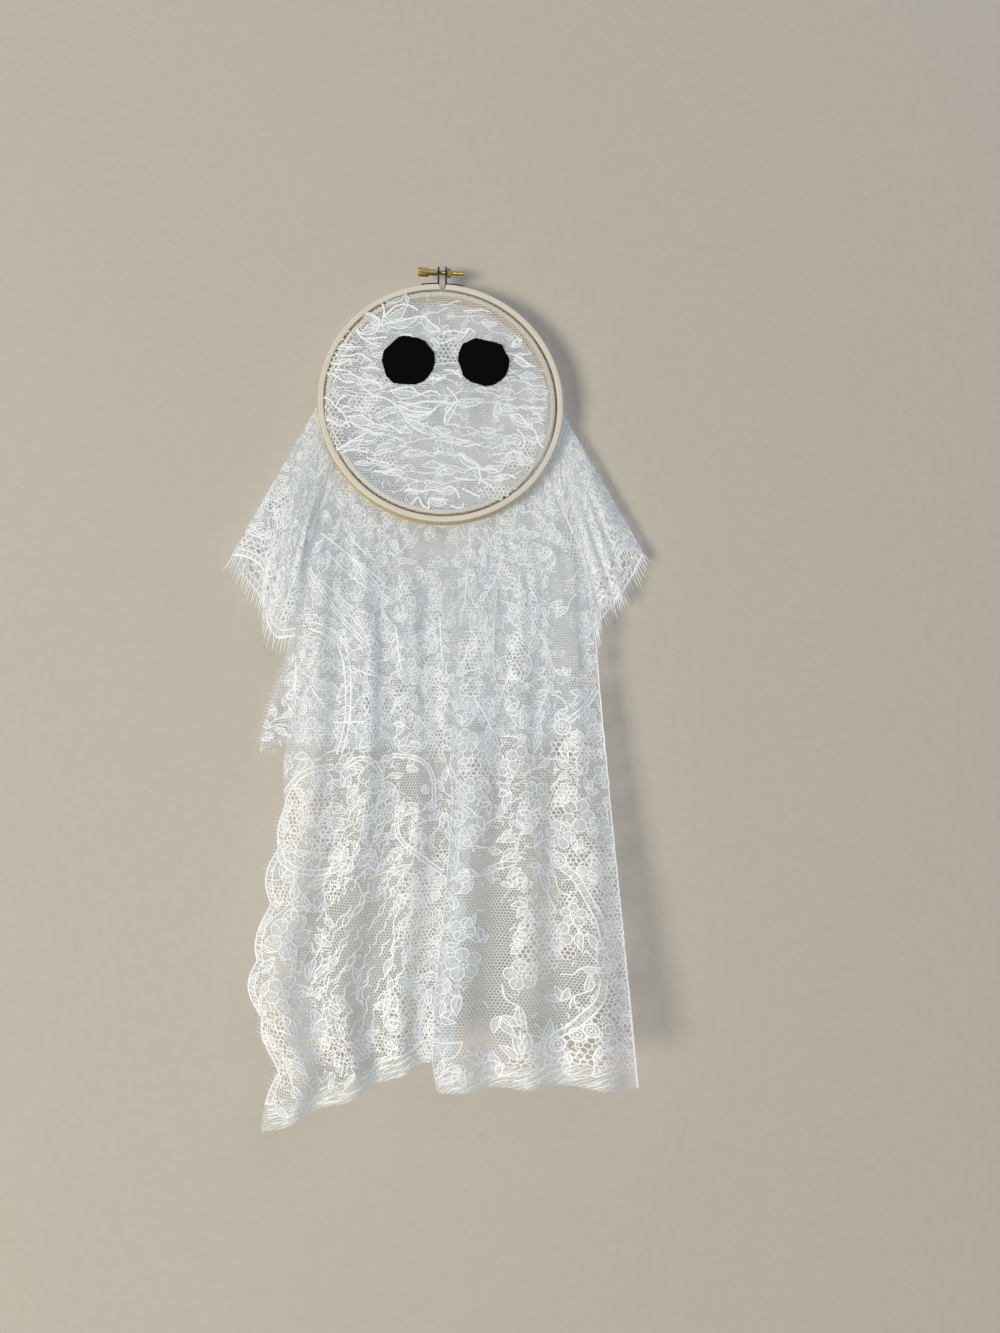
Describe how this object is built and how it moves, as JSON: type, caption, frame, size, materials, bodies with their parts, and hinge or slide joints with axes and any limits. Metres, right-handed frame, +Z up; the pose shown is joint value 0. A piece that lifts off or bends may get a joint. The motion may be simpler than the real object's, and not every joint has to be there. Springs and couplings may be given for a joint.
{
  "type": "embroidery hoop ghost decoration",
  "caption": "Hanging ghost made of a bamboo embroidery hoop with black felt eyes and a draped sheet of white eyelash lace.",
  "frame": {"origin": "the hang point: underside of the thumbscrew's shank, midway between the clamp's ears, where a nail carries the hoop", "axes": "+Z up along the length of the decoration, -Y the front with the eyes, +Y towards the wall, +X to the viewer's right"},
  "size_m": [0.2691, 0.0513, 0.546],
  "materials": {
    "bamboo": "bare, lightly sanded",
    "lace": "openwork white lace",
    "felt": "black felt",
    "blackened_steel": "blackened",
    "brass": "satin"
  },
  "bodies": {
    "hoop": {"inner_ring": "bamboo", "outer_ring": "bamboo", "left_clamp_bracket": "blackened_steel", "right_clamp_bracket": "blackened_steel", "left_bracket_rivet": "blackened_steel", "right_bracket_rivet": "blackened_steel", "clamp_nut": "brass", "left_eye": "felt", "right_eye": "felt", "lace_face": "lace", "lace_band": "lace", "lace_skirt": "lace", "lace_back_tier": "lace"},
    "screw": {"thumbscrew": "brass"}
  },
  "joints": [
    {"name": "screw_turn", "type": "hinge", "parent": "hoop", "child": "screw", "pos_m": [0, 0, 0.00135], "axis": [1, 0, 0], "continuous": true}
  ]
}
